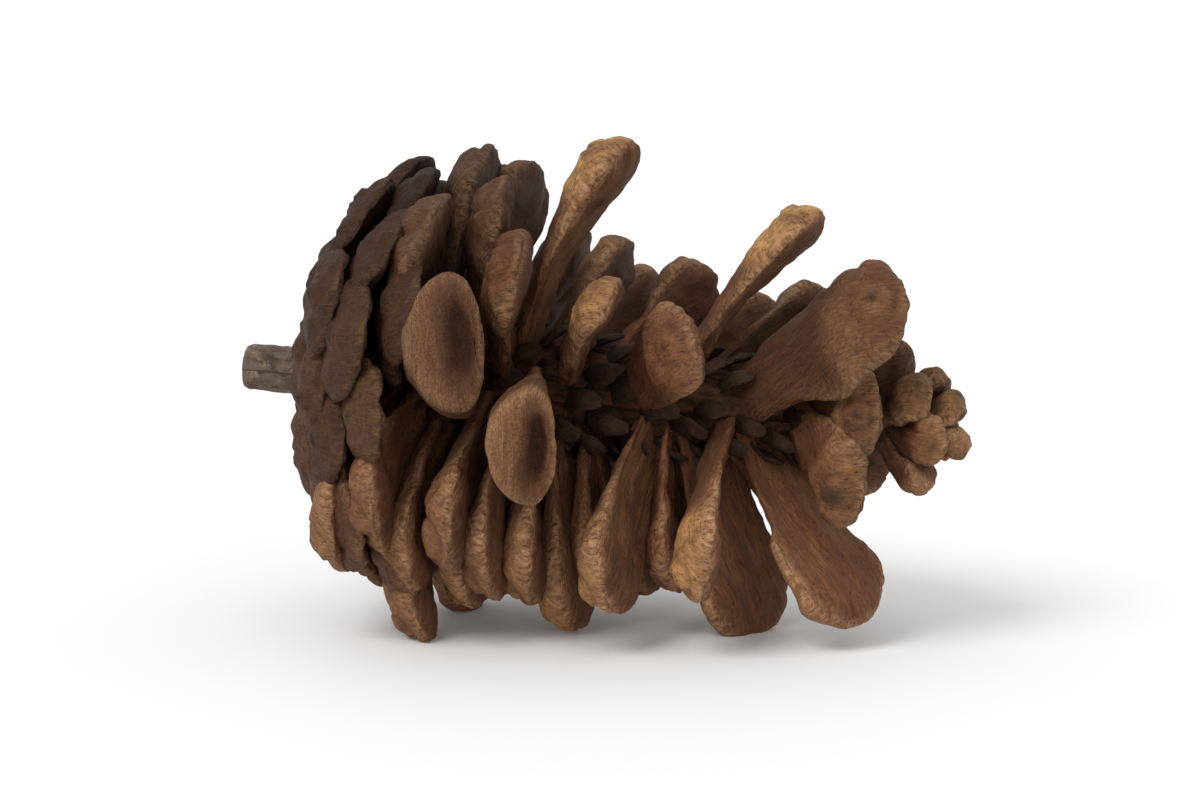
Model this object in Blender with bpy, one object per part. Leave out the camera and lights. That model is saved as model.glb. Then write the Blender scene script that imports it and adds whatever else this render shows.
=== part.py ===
"""A larch cone, picked with a short stub of its twig and lying on its side on a table.

Units are metres, +Z is up. The cone's own axis runs from its base, at the left, to its
apex, at +X. Lengths below are in millimetres and are turned into metres by MM.
"""

import math
import random

import bmesh
import bpy
from mathutils import Matrix, Vector

MM = 0.001

# The closed base. Each scale stands a golden angle round from the last, from the stalk on.
# One row for each part of it: share of the scales, distance along the axis of the root and
# of the tip, distance of the tip from the axis, width, thickness of the swollen end, and
# bow, the share of its length by which a scale curves. Between the rows it is interpolated.
BASE_COUNT = 46
GOLDEN_ANGLE = math.radians(137.508)
BASE_STATIONS = (
    (0.00, 1.0, 0.5, 4.6, 5.0, 1.3, 0.08),
    (0.12, 1.3, 1.2, 8.0, 6.4, 1.4, 0.13),
    (0.32, 2.0, 2.9, 11.6, 7.4, 1.5, 0.16),
    (0.60, 3.4, 5.4, 14.4, 7.8, 1.7, 0.16),
    (0.82, 5.0, 7.8, 15.8, 7.6, 1.9, 0.14),
    (1.00, 7.4, 10.2, 16.4, 7.4, 2.2, 0.11),
)

# The open scales, one row for each: distance along the axis of the root, turn about the axis
# in degrees (90 is up, 180 the front, 270 down), lean from the apex direction in degrees,
# length, width, thickness, twist in degrees, and bow.
OPEN_SCALES = (
    (6.8, 226, 99, 14.2, 8.8, 2.4, 0, 0.12),
    (8.6, 128, 84, 15.4, 8.0, 2.8, -6, 0.10),
    (8.8, 14, 82, 15.4, 7.2, 2.8, 6, 0.08),
    (9.4, 84, 84, 15.6, 7.2, 2.8, 6, 0.09),
    (9.8, 330, 82, 15.2, 7.2, 2.8, -4, 0.08),
    (9.4, 211, 96, 14.4, 8.8, 2.4, 4, 0.10),
    (10.2, 236, 92, 14.6, 8.4, 2.8, 0, 0.08),
    (11.2, 160, 82, 15.8, 9.2, 5.4, 14, 0.05),
    (11.4, 62, 84, 15.8, 7.4, 3.0, -8, 0.06),
    (11.8, 284, 84, 14.0, 7.2, 2.8, 4, 0.06),
    (12.2, 110, 84, 14.8, 7.4, 2.4, 8, 0.06),
    (13.8, 134, 80, 14.2, 7.4, 2.7, 4, 0.05),
    (12.5, 34, 78, 15.6, 7.4, 3.0, 6, 0.05),
    (12.8, 251, 89, 14.2, 8.0, 2.8, 6, 0.05),
    (13.4, 352, 78, 15.6, 7.4, 3.0, -8, 0.05),
    (12.8, 219, 90, 14.2, 8.2, 2.6, -4, 0.05),
    (14.6, 236, 88, 14.2, 8.0, 2.7, 4, 0.05),
    (14.5, 308, 76, 14.6, 7.2, 3.0, -6, 0.05),
    (14.4, 97, 67, 18.6, 4.8, 3.2, -12, 0.07),
    (15.8, 43, 72, 13.0, 7.2, 3.0, 6, 0.05),
    (16.2, 20, 72, 16.0, 7.6, 3.2, 8, 0.05),
    (16.4, 246, 86, 13.8, 7.6, 2.7, -6, 0.05),
    (16.6, 280, 80, 13.6, 7.2, 2.8, -4, 0.05),
    (15.9, 185, 78, 16.2, 8.2, 4.6, 0, 0.04),
    (17.2, 336, 72, 16.0, 7.6, 3.2, -8, 0.05),
    (18.0, 141, 70, 13.8, 4.0, 2.4, -12, 0.05),
    (17.4, 262, 81, 15.3, 5.6, 3.6, 10, 0.03),
    (19.4, 292, 72, 14.6, 7.4, 3.2, -6, 0.05),
    (19.8, 2, 68, 15.6, 7.6, 3.2, 6, 0.05),
    (20.6, 38, 64, 12.4, 7.2, 3.0, -6, 0.05),
    (19.8, 270, 84, 13.0, 7.0, 2.6, 4, 0.05),
    (22.0, 326, 66, 15.4, 7.6, 3.2, 4, 0.05),
    (23.0, 151, 66, 13.4, 6.4, 2.7, 30, 0.05),
    (23.6, 16, 60, 14.6, 7.6, 3.2, -8, 0.05),
    (24.4, 231, 93, 15.2, 7.4, 3.0, 14, 0.05),
    (24.8, 300, 66, 14.4, 7.6, 3.2, -10, 0.05),
    (25.2, 264, 82, 12.0, 7.2, 2.6, 4, 0.05),
    (25.2, 90, 54, 16.2, 4.2, 2.9, -8, 0.05),
    (26.4, 346, 58, 14.2, 7.6, 3.2, 10, 0.05),
    (27.6, 34, 54, 12.6, 7.4, 3.0, -6, 0.05),
    (29.0, 314, 56, 13.4, 7.4, 3.0, 8, 0.05),
    (29.4, 227, 88, 14.2, 6.6, 3.0, -12, 0.05),
    (30.6, 6, 50, 12.4, 7.4, 3.0, 4, 0.05),
    (29.8, 127, 42, 16.0, 8.8, 3.1, 16, 0.05),
    (31.0, 256, 54, 15.5, 7.6, 3.3, 40, 0.04),
    (32.5, 70, 44, 10.6, 6.8, 2.8, -6, 0.05),
    (33.0, 336, 48, 10.4, 6.8, 2.8, 8, 0.05),
    (34.0, 206, 53, 9.6, 6.8, 3.0, -6, 0.05),
    (34.8, 30, 44, 8.8, 6.2, 2.6, 4, 0.05),
    (35.0, 166, 46, 7.6, 6.0, 2.6, 8, 0.05),
)

# The scales that it lies on, given in the same way. Each is lengthened until it just
# reaches the table, which is TABLE_DROP below the axis.
FOOT_SCALES = (
    (7.4, 249, 80, 16.0, 7.2, 2.6, 0, 0.09),
    (7.8, 291, 80, 16.0, 7.2, 2.6, 0, 0.09),
    (27.0, 276, 70, 15.4, 7.8, 3.2, 34, 0.04),
)
TABLE_DROP = 17.9

# The knobbly apex: small scales in the same spiral, as in the base.
APEX_COUNT = 8
APEX_STATIONS = (
    (0.00, 39.0, 43.0, 4.6, 4.0, 2.5, 0.10),
    (0.50, 40.6, 44.4, 3.2, 3.6, 2.4, 0.10),
    (1.00, 42.0, 45.8, 0.8, 3.2, 2.2, 0.05),
)

# The woody axis that the scales grow from: distance along it, and radius.
AXIS_PROFILE = ((0.0, 2.4), (1.2, 3.4), (6.0, 4.2), (16.0, 3.8), (28.0, 2.9), (37.0, 2.0), (43.0, 1.0))
AXIS_SIDES = 12

# A scale's section: shares from root to tip, and points round it. The small scales of the
# base and the apex need fewer than the open ones.
OPEN_SHARES = (0.0, 0.35, 0.6, 0.77, 0.9, 0.98)
OPEN_SIDES = 8
SMALL_SHARES = (0.0, 0.5, 0.77, 0.94)
SMALL_SIDES = 6

# A scale's outline. It is widest WIDEST of the way to its tip, and a slim one further out, so
# that its round tip is no longer than TIP_ROUND of its width. TAPER gives how soon its
# thickness falls off towards that tip. CUP is how far the sides of its blade curl inward, as
# a share of its width, and END_CUP what is left of that in its swollen end.
ROOT_DEPTH = 0.3
ROOT_WIDTH = 0.6
WIDEST = 0.78
TIP_ROUND = 0.55
BLADE_THICKNESS = 1.5
INNER_SHARE = 0.38
TAPER = 0.75
CUP = 0.10
END_CUP = 0.25

# Natural unevenness of the base and apex, drawn once for each scale.
SEED = 7
LENGTH_SPREAD = 0.05
LEAN_SPREAD = math.radians(4.0)
TURN_SPREAD = math.radians(5.0)
TWIST_SPREAD = math.radians(8.0)
WIDTH_SPREAD = 0.08

# The cone lies with its apex a little lower than its base.
DROOP = math.radians(3.5)

# The stub of twig that it was picked with.
STALK_RADIUS = 1.7
STALK_REACH = 6.5
STALK_SIDES = 12
SOCKET_DEPTH = 1.2
JOINT_GAP = 0.3

# The lowest scales are worn flat where they touch the table.
FLAT_DEPTH = 0.3

CONE_COLOUR = (0.20, 0.105, 0.052, 1.0)
STALK_COLOUR = (0.085, 0.058, 0.045, 1.0)


def clear_scene():
    for obj in list(bpy.data.objects):
        bpy.data.objects.remove(obj)


def material(name, colour, roughness):
    made = bpy.data.materials.new(name)
    made.use_nodes = True
    shader = made.node_tree.nodes["Principled BSDF"]
    shader.inputs["Base Color"].default_value = colour
    shader.inputs["Roughness"].default_value = roughness
    return made


def between(rows, share):
    """The values of a table at a share, interpolated by its first column."""
    for low, high in zip(rows, rows[1:]):
        if share <= high[0]:
            t = (share - low[0]) / (high[0] - low[0])
            return [a + (b - a) * t for a, b in zip(low[1:], high[1:])]
    return list(rows[-1][1:])


def root_at(along):
    """A scale's root, as distance along the axis and distance from it, inside the wood."""
    return Vector((along, between(AXIS_PROFILE, along)[0] * ROOT_DEPTH))


def spiral_scales(count, stations, draw):
    """The scales of the base or of the apex, in their spiral."""
    plan = []
    for number in range(count):
        share = number / (count - 1)
        root_along, tip_along, tip_radius, width, thickness, bow = between(stations, share)
        root = root_at(root_along)
        reach = Vector((tip_along, tip_radius)) - root
        reach *= 1.0 + draw.uniform(-LENGTH_SPREAD, LENGTH_SPREAD)
        reach = Matrix.Rotation(draw.uniform(-LEAN_SPREAD, LEAN_SPREAD), 2) @ reach
        plan.append(
            {
                "turn": number * GOLDEN_ANGLE + draw.uniform(-TURN_SPREAD, TURN_SPREAD),
                "root": root,
                "reach": reach,
                "width": width * (1.0 + draw.uniform(-WIDTH_SPREAD, WIDTH_SPREAD)),
                "thickness": thickness,
                "twist": draw.uniform(-TWIST_SPREAD, TWIST_SPREAD),
                "bow": bow,
                "shares": SMALL_SHARES,
                "sides": SMALL_SIDES,
            }
        )
    return plan


def listed_scale(row):
    """One scale of the tables that give each scale a row of its own."""
    along, turn, lean, length, width, thickness, twist, bow = row
    lean = math.radians(lean)
    return {
        "turn": math.radians(turn),
        "root": root_at(along),
        "reach": Vector((math.cos(lean), math.sin(lean))) * length,
        "width": width,
        "thickness": thickness,
        "twist": math.radians(twist),
        "bow": bow,
        "shares": OPEN_SHARES,
        "sides": OPEN_SIDES,
    }


def widest_at(scale):
    return max(WIDEST, 1.0 - TIP_ROUND * scale["width"] / scale["reach"].length)


def half_width(share, widest):
    """Half a scale's width as a share of its full half width: narrow root, round end."""
    if share < widest:
        t = share / widest
        return ROOT_WIDTH + (1.0 - ROOT_WIDTH) * t * t * (3.0 - 2.0 * t)
    return math.sqrt(max(0.0, 1.0 - ((share - widest) / (1.0 - widest)) ** 2))


def thickness_at(share, widest, swollen):
    """A scale's thickness: an even blade that swells towards its end, then rounds off."""
    if share < widest:
        t = max(0.0, (share - 0.35) / (widest - 0.35))
        return BLADE_THICKNESS + (swollen - BLADE_THICKNESS) * t * t * (3.0 - 2.0 * t)
    return swollen * max(0.0, 1.0 - ((share - widest) / (1.0 - widest)) ** 2) ** TAPER


def scale_point(scale, share, around):
    """A point of a scale's surface in the cone's own frame, in millimetres."""
    reach = scale["reach"]
    back = Vector((-reach.y, reach.x)).normalized()
    bow = scale["bow"] * reach.length
    centre = scale["root"] + reach * share + back * bow * math.sin(math.pi * share)
    along = (reach + back * bow * math.pi * math.cos(math.pi * share)).normalized()
    inward = Vector((along.y, -along.x))
    widest = widest_at(scale)
    wide = half_width(share, widest)
    full = thickness_at(share, widest, scale["thickness"])
    side = math.cos(around) * wide * scale["width"] / 2.0
    height = math.sin(around)
    height *= full * (INNER_SHARE if height > 0.0 else 1.0 - INNER_SHARE)
    t = min(max((share - 0.45) / 0.3, 0.0), 1.0)
    cup = CUP * (1.0 - (1.0 - END_CUP) * t * t * (3.0 - 2.0 * t))
    height += cup * scale["width"] * math.cos(around) ** 2 * wide**2
    across = side * math.cos(scale["twist"]) - height * math.sin(scale["twist"])
    height = side * math.sin(scale["twist"]) + height * math.cos(scale["twist"])
    centre = centre + inward * height
    turn = scale["turn"]
    return Vector(
        (
            centre.x,
            centre.y * math.cos(turn) - across * math.sin(turn),
            centre.y * math.sin(turn) + across * math.cos(turn),
        )
    )


def scale_rings(scale, laid):
    sides = scale["sides"]
    return [
        [laid @ scale_point(scale, share, 2.0 * math.pi * i / sides) for i in range(sides)]
        for share in scale["shares"]
    ]


def reach_table(scale, laid):
    """Lengthens or shortens a foot scale until its lowest point is level with the table."""
    reach = scale["reach"].copy()
    low, high = 0.7, 1.4
    for _ in range(24):
        middle = (low + high) / 2.0
        scale["reach"] = reach * middle
        depth = -min(point.z for ring in scale_rings(scale, laid) for point in ring)
        if depth < TABLE_DROP * MM:
            low = middle
        else:
            high = middle
    return scale


def all_scales(laid):
    draw = random.Random(SEED)
    plan = spiral_scales(BASE_COUNT, BASE_STATIONS, draw)
    plan += [listed_scale(row) for row in OPEN_SCALES]
    plan += [reach_table(listed_scale(row), laid) for row in FOOT_SCALES]
    plan += spiral_scales(APEX_COUNT, APEX_STATIONS, draw)
    return plan


def mesh_object(name, mesh_builder, collection):
    built = bmesh.new()
    mesh_builder(built)
    bmesh.ops.recalc_face_normals(built, faces=built.faces)
    mesh = bpy.data.meshes.new(name)
    built.to_mesh(mesh)
    built.free()
    obj = bpy.data.objects.new(name, mesh)
    collection.objects.link(obj)
    return obj


def loft(built, rings, end_points=(None, None)):
    """Closes rows of points into one skin, ending in a flat face or in a point."""
    made = [[built.verts.new(point) for point in ring] for ring in rings]
    sides = len(made[0])
    for low, high in zip(made, made[1:]):
        for i in range(sides):
            j = (i + 1) % sides
            built.faces.new((low[i], low[j], high[j], high[i]))
    for ring, point in zip((made[0], made[-1]), end_points):
        if point is None:
            built.faces.new(ring)
            continue
        tip = built.verts.new(point)
        for i in range(sides):
            built.faces.new((ring[i], ring[(i + 1) % sides], tip))


def build_scale(scale, laid):
    def builder(built):
        loft(built, scale_rings(scale, laid), (None, laid @ scale_point(scale, 1.0, 0.0)))

    return builder


def build_rod(profile, sides, laid):
    """A round rod about the cone's axis, from rows of distance along it and radius."""

    def builder(built):
        rings = [
            [
                laid
                @ Vector(
                    (
                        along,
                        radius * math.cos(2.0 * math.pi * i / sides),
                        radius * math.sin(2.0 * math.pi * i / sides),
                    )
                )
                for i in range(sides)
            ]
            for along, radius in profile
        ]
        loft(built, rings)

    return builder


def boolean(obj, operation, operand):
    modifier = obj.modifiers.new(operation.lower(), "BOOLEAN")
    modifier.operation = operation
    if isinstance(operand, bpy.types.Collection):
        modifier.operand_type = "COLLECTION"
        modifier.collection = operand
    else:
        modifier.object = operand
    graph = bpy.context.evaluated_depsgraph_get()
    obj.data = bpy.data.meshes.new_from_object(obj.evaluated_get(graph))
    obj.modifiers.clear()


def cut(obj, cutter):
    boolean(obj, "DIFFERENCE", cutter)
    bpy.data.objects.remove(cutter)


def fill_voids(obj):
    """Keeps the outer skin alone, so that the voids closed in between scales are solid."""
    built = bmesh.new()
    built.from_mesh(obj.data)
    skins = []
    waiting = set(built.verts)
    while waiting:
        skin = set()
        edge = [waiting.pop()]
        while edge:
            vert = edge.pop()
            skin.add(vert)
            for linked in vert.link_edges:
                other = linked.other_vert(vert)
                if other in waiting:
                    waiting.remove(other)
                    edge.append(other)
        skins.append(skin)
    outer = max(skins, key=len)
    inner = [vert for skin in skins if skin is not outer for vert in skin]
    bmesh.ops.delete(built, geom=inner, context="VERTS")
    built.to_mesh(obj.data)
    built.free()


def block(low, high):
    """A box between two corners, in millimetres."""

    def builder(built):
        bmesh.ops.create_cube(built, size=1.0)
        for vert in built.verts:
            for i in range(3):
                vert.co[i] = (low[i] if vert.co[i] < 0.0 else high[i]) * MM

    return builder


def stand_on_origin(objects):
    """Moves the meshes so that the middle of their bounding box stands on the origin."""
    points = [vert.co for obj in objects for vert in obj.data.vertices]
    low = [min(point[i] for point in points) for i in range(3)]
    high = [max(point[i] for point in points) for i in range(3)]
    shift = Vector((-(low[0] + high[0]) / 2.0, -(low[1] + high[1]) / 2.0, -low[2]))
    for obj in objects:
        obj.data.transform(Matrix.Translation(shift))


def main():
    clear_scene()
    home = bpy.context.scene.collection
    laid = Matrix.Scale(MM, 4) @ Matrix.Rotation(DROOP, 4, "Y")

    scales = bpy.data.collections.new("scales")
    home.children.link(scales)
    for number, scale in enumerate(all_scales(laid)):
        mesh_object(f"scale_{number:02d}", build_scale(scale, laid), scales)
    cone = mesh_object("scaly_cone", build_rod(AXIS_PROFILE, AXIS_SIDES, laid), home)
    boolean(cone, "UNION", scales)
    fill_voids(cone)
    for obj in list(scales.objects):
        bpy.data.objects.remove(obj)
    bpy.data.collections.remove(scales)

    socket = ((-3.0, STALK_RADIUS + JOINT_GAP), (SOCKET_DEPTH, STALK_RADIUS + JOINT_GAP))
    cut(cone, mesh_object("socket", build_rod(socket, STALK_SIDES, laid), home))
    floor = FLAT_DEPTH - TABLE_DROP
    cut(cone, mesh_object("table", block((-50.0, -50.0, floor - 10.0), (90.0, 50.0, floor)), home))

    inner = SOCKET_DEPTH - JOINT_GAP
    rod = ((inner - STALK_REACH, STALK_RADIUS), (inner, STALK_RADIUS))
    stalk = mesh_object("stalk", build_rod(rod, STALK_SIDES, laid), home)

    for obj, name, colour in ((cone, "cone_brown", CONE_COLOUR), (stalk, "stalk_bark", STALK_COLOUR)):
        obj.data.materials.clear()
        obj.data.materials.append(material(name, colour, 0.7))
    stand_on_origin((cone, stalk))


main()
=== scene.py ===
"""A dry larch cone with a stub of its twig, lying on a pale table.

The frame gives the size and the place. The scales are the frame's own, each made again
with its swollen end, boss, grain and the prints of the two seeds on its inner face.
Lengths in this script are millimetres until lay_down() turns them into metres.
"""

import math
import random

import bpy
import numpy as np
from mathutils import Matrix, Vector


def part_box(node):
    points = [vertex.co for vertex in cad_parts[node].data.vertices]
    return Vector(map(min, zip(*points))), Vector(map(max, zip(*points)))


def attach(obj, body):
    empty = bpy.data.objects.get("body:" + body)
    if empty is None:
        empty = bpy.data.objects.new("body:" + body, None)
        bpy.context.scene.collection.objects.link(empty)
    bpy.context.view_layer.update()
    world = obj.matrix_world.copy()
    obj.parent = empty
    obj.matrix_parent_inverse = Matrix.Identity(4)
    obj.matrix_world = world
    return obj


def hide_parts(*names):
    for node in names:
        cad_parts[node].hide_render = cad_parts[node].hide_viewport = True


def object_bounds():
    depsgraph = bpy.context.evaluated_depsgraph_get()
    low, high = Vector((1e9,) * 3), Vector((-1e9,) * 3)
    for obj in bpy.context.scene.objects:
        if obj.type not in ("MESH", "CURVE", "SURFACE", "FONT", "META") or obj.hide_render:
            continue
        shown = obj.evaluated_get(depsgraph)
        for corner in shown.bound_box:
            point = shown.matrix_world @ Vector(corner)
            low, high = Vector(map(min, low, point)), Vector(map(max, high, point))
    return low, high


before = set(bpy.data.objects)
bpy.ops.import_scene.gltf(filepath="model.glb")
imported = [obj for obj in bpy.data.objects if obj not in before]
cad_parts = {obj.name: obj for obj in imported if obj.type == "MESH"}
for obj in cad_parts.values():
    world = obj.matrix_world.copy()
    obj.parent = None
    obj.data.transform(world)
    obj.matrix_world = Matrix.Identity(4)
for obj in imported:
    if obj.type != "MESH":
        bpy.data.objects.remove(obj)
cad_low, cad_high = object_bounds()

MM = 0.001

# The base: share of the scales, distance along the axis of the root and of the tip,
# distance of the tip from the axis, width, thickness and bow.
BASE_COUNT = 46
GOLDEN_ANGLE = math.radians(137.508)
BASE_STATIONS = (
    (0.00, 1.0, 0.5, 4.6, 5.0, 1.3, 0.08),
    (0.12, 1.3, 1.2, 8.0, 6.4, 1.4, 0.13),
    (0.32, 2.0, 2.9, 11.6, 7.4, 1.5, 0.16),
    (0.60, 3.4, 5.4, 14.4, 7.8, 1.7, 0.16),
    (0.82, 5.0, 7.8, 15.8, 7.6, 1.9, 0.14),
    (1.00, 7.4, 10.2, 16.4, 7.4, 2.2, 0.11),
)

# The open scales: distance along the axis of the root, turn, lean, length, width,
# thickness, twist and bow, with angles in degrees.
OPEN_SCALES = (
    (6.8, 226, 99, 14.2, 8.8, 2.4, 0, 0.12),
    (8.6, 128, 84, 15.4, 8.0, 2.8, -6, 0.10),
    (8.8, 14, 82, 15.4, 7.2, 2.8, 6, 0.08),
    (9.4, 84, 84, 15.6, 7.2, 2.8, 6, 0.09),
    (9.8, 330, 82, 15.2, 7.2, 2.8, -4, 0.08),
    (9.4, 211, 96, 14.4, 8.8, 2.4, 4, 0.10),
    (10.2, 236, 92, 14.6, 8.4, 2.8, 0, 0.08),
    (11.2, 160, 82, 15.8, 9.2, 5.4, 14, 0.05),
    (11.4, 62, 84, 15.8, 7.4, 3.0, -8, 0.06),
    (11.8, 284, 84, 14.0, 7.2, 2.8, 4, 0.06),
    (12.2, 110, 84, 14.8, 7.4, 2.4, 8, 0.06),
    (13.8, 134, 80, 14.2, 7.4, 2.7, 4, 0.05),
    (12.5, 34, 78, 15.6, 7.4, 3.0, 6, 0.05),
    (12.8, 251, 89, 14.2, 8.0, 2.8, 6, 0.05),
    (13.4, 352, 78, 15.6, 7.4, 3.0, -8, 0.05),
    (12.8, 219, 90, 14.2, 8.2, 2.6, -4, 0.05),
    (14.6, 236, 88, 14.2, 8.0, 2.7, 4, 0.05),
    (14.5, 308, 76, 14.6, 7.2, 3.0, -6, 0.05),
    (14.4, 97, 67, 18.6, 4.8, 3.2, -12, 0.07),
    (15.8, 43, 72, 13.0, 7.2, 3.0, 6, 0.05),
    (16.2, 20, 72, 16.0, 7.6, 3.2, 8, 0.05),
    (16.4, 246, 86, 13.8, 7.6, 2.7, -6, 0.05),
    (16.6, 280, 80, 13.6, 7.2, 2.8, -4, 0.05),
    (15.9, 185, 78, 16.2, 8.2, 4.6, 0, 0.04),
    (17.2, 336, 72, 16.0, 7.6, 3.2, -8, 0.05),
    (18.0, 141, 70, 13.8, 4.0, 2.4, -12, 0.05),
    (17.4, 262, 81, 15.3, 5.6, 3.6, 10, 0.03),
    (19.4, 292, 72, 14.6, 7.4, 3.2, -6, 0.05),
    (19.8, 2, 68, 15.6, 7.6, 3.2, 6, 0.05),
    (20.6, 38, 64, 12.4, 7.2, 3.0, -6, 0.05),
    (19.8, 270, 84, 13.0, 7.0, 2.6, 4, 0.05),
    (22.0, 326, 66, 15.4, 7.6, 3.2, 4, 0.05),
    (23.0, 151, 66, 13.4, 6.4, 2.7, 30, 0.05),
    (23.6, 16, 60, 14.6, 7.6, 3.2, -8, 0.05),
    (24.4, 231, 93, 15.2, 7.4, 3.0, 14, 0.05),
    (24.8, 300, 66, 14.4, 7.6, 3.2, -10, 0.05),
    (25.2, 264, 82, 12.0, 7.2, 2.6, 4, 0.05),
    (25.2, 90, 54, 16.2, 4.2, 2.9, -8, 0.05),
    (26.4, 346, 58, 14.2, 7.6, 3.2, 10, 0.05),
    (27.6, 34, 54, 12.6, 7.4, 3.0, -6, 0.05),
    (29.0, 314, 56, 13.4, 7.4, 3.0, 8, 0.05),
    (29.4, 227, 88, 14.2, 6.6, 3.0, -12, 0.05),
    (30.6, 6, 50, 12.4, 7.4, 3.0, 4, 0.05),
    (29.8, 127, 42, 16.0, 8.8, 3.1, 16, 0.05),
    (31.0, 256, 54, 15.5, 7.6, 3.3, 40, 0.04),
    (32.5, 70, 44, 10.6, 6.8, 2.8, -6, 0.05),
    (33.0, 336, 48, 10.4, 6.8, 2.8, 8, 0.05),
    (34.0, 206, 53, 9.6, 6.8, 3.0, -6, 0.05),
    (34.8, 30, 44, 8.8, 6.2, 2.6, 4, 0.05),
    (35.0, 166, 46, 7.6, 6.0, 2.6, 8, 0.05),
)

# The three scales that it lies on, which reach down to the table.
FOOT_SCALES = (
    (7.4, 249, 80, 16.0, 7.2, 2.6, 0, 0.09),
    (7.8, 291, 80, 16.0, 7.2, 2.6, 0, 0.09),
    (27.0, 276, 70, 15.4, 7.8, 3.2, 34, 0.04),
)
TABLE_DROP = 17.9

APEX_COUNT = 8
APEX_STATIONS = (
    (0.00, 39.0, 43.0, 4.6, 4.0, 2.5, 0.10),
    (0.50, 40.6, 44.4, 3.2, 3.6, 2.4, 0.10),
    (1.00, 42.0, 45.8, 0.8, 3.2, 2.2, 0.05),
)

# The woody axis: distance along it and its radius there.
AXIS_PROFILE = ((0.0, 2.4), (1.2, 3.4), (6.0, 4.2), (16.0, 3.8), (28.0, 2.9), (37.0, 2.0), (43.0, 1.0))

# The natural unevenness of the base and the apex, drawn in the frame's own order.
SEED = 7
LENGTH_SPREAD = 0.05
LEAN_SPREAD = math.radians(4.0)
TURN_SPREAD = math.radians(5.0)
TWIST_SPREAD = math.radians(8.0)
WIDTH_SPREAD = 0.08

# The form that all scales share, as in the frame. Only END_ROUND, which makes the ends
# fuller than the frame's TAPER, is this script's own.
ROOT_DEPTH = 0.3
ROOT_WIDTH = 0.6
WIDEST = 0.78
BLADE_THICKNESS = 1.5
INNER_SHARE = 0.38
CUP = 0.10
END_CUP = 0.25
TAPER = 0.75
TIP_ROUND = 0.55
END_ROUND = 0.58
DROOP = math.radians(3.5)

STALK_RADIUS = 1.7
STALK_REACH = 6.5
SOCKET_DEPTH = 1.2
JOINT_GAP = 0.3

# Leaf scars on the twig: distance along the axis, turn in radians and height.
LEAF_SCARS = ((-4.1, 0.9, 0.24), (-2.4, 3.3, 0.28), (-1.0, 5.2, 0.20), (-3.3, 4.6, 0.18))

# How finely a scale is made: rows from root to its widest place, rows from there to its
# tip, and points round it.
OPEN_GRID = (38, 22, 48)
SMALL_GRID = (28, 18, 36)
BRACT_GRID = (10, 7, 14)

# Scales thicker than this are seen end on in the photograph, with a hollow in their end.
# The hollow's depth, and as shares of the end: how far it lies to one side, how much it
# bends, and its size across and along the end.
END_ON_THICKNESS = 4.0
HOLLOW_DEPTH = 2.0
HOLLOW_OFFSET = 0.16
HOLLOW_BEND = 0.22
HOLLOW_ACROSS = 0.6
HOLLOW_ALONG = 1.0 / 1.2

# The stubs of bracts between the scales, along the axis.
BRACT_COUNT = 120
BRACT_STATIONS = (
    (0.00, 4.0, 7.8, 5.6, 3.0, 0.45, 0.12),
    (0.60, 22.0, 26.0, 4.4, 2.8, 0.45, 0.12),
    (1.00, 37.0, 40.0, 3.0, 2.0, 0.40, 0.12),
)

# Scales whose looks are their own, by the distance and turn of their row: tone from dark
# to light, how ochre, red and grey each is, how wavy, and how large the spot on its boss.
# The dark spot on a boss is painted shade in its pit. Part of the tone is painted light: some upper scales
# are darker as painted shade, and some lower ones lighter as painted light.
OWN_LOOKS = {
    (8.6, 128): (0.00, 0.05, 0.20, 0.20, 1.0, 1.0),
    (9.4, 84): (-0.15, 0.00, 0.10, 0.40, 1.0, 1.0),
    (11.4, 62): (-0.05, 0.00, 0.20, 0.35, 1.0, 1.0),
    (12.2, 110): (0.00, 0.05, 0.50, 0.15, 1.0, 1.0),
    (13.8, 134): (0.20, 0.05, 0.50, 0.00, 1.0, 1.0),
    (14.4, 97): (0.75, 0.95, 0.00, 0.05, 0.7, 1.0),
    (25.2, 90): (0.75, 0.95, 0.00, 0.05, 0.7, 1.0),
    (18.0, 141): (0.60, 0.85, 0.10, 0.00, 1.0, 1.0),
    (17.4, 262): (1.00, 1.00, 0.00, 0.00, 0.8, 1.0),
    (23.0, 151): (0.45, 0.05, 0.60, 0.00, 1.0, 1.0),
    (34.0, 206): (0.50, 0.20, 0.35, 0.00, 1.0, 2.6),
    (31.0, 256): (1.15, 0.25, 0.35, 0.05, 1.4, 1.0),
    (29.8, 127): (0.25, 0.10, 0.35, 0.05, 2.2, 1.0),
    (11.2, 160): (0.15, 0.10, 0.20, 0.00, 1.0, 1.0),
    (15.9, 185): (0.45, 0.15, 0.20, 0.00, 1.0, 1.0),
    (24.4, 231): (1.15, 0.45, 0.00, 0.05, 1.0, 1.0),
    (29.4, 227): (1.20, 0.45, 0.05, 0.00, 1.0, 1.0),
    (27.0, 276): (1.40, 0.25, 0.20, 0.00, 1.3, 1.0),
}


def srgb(red, green, blue):
    """A colour as a picture gives it, from 0 to 255, turned into the light that it stands for."""

    def linear(value):
        value /= 255.0
        return value / 12.92 if value <= 0.04045 else ((value + 0.055) / 1.055) ** 2.4

    return (linear(red), linear(green), linear(blue), 1.0)


def between(rows, share):
    for low, high in zip(rows, rows[1:]):
        if share <= high[0]:
            t = (share - low[0]) / (high[0] - low[0])
            return [a + (b - a) * t for a, b in zip(low[1:], high[1:])]
    return list(rows[-1][1:])


def root_at(along):
    return np.array((along, between(AXIS_PROFILE, along)[0] * ROOT_DEPTH))


def turned(vector, angle):
    cos, sin = math.cos(angle), math.sin(angle)
    return np.array((vector[0] * cos - vector[1] * sin, vector[0] * sin + vector[1] * cos))


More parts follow.
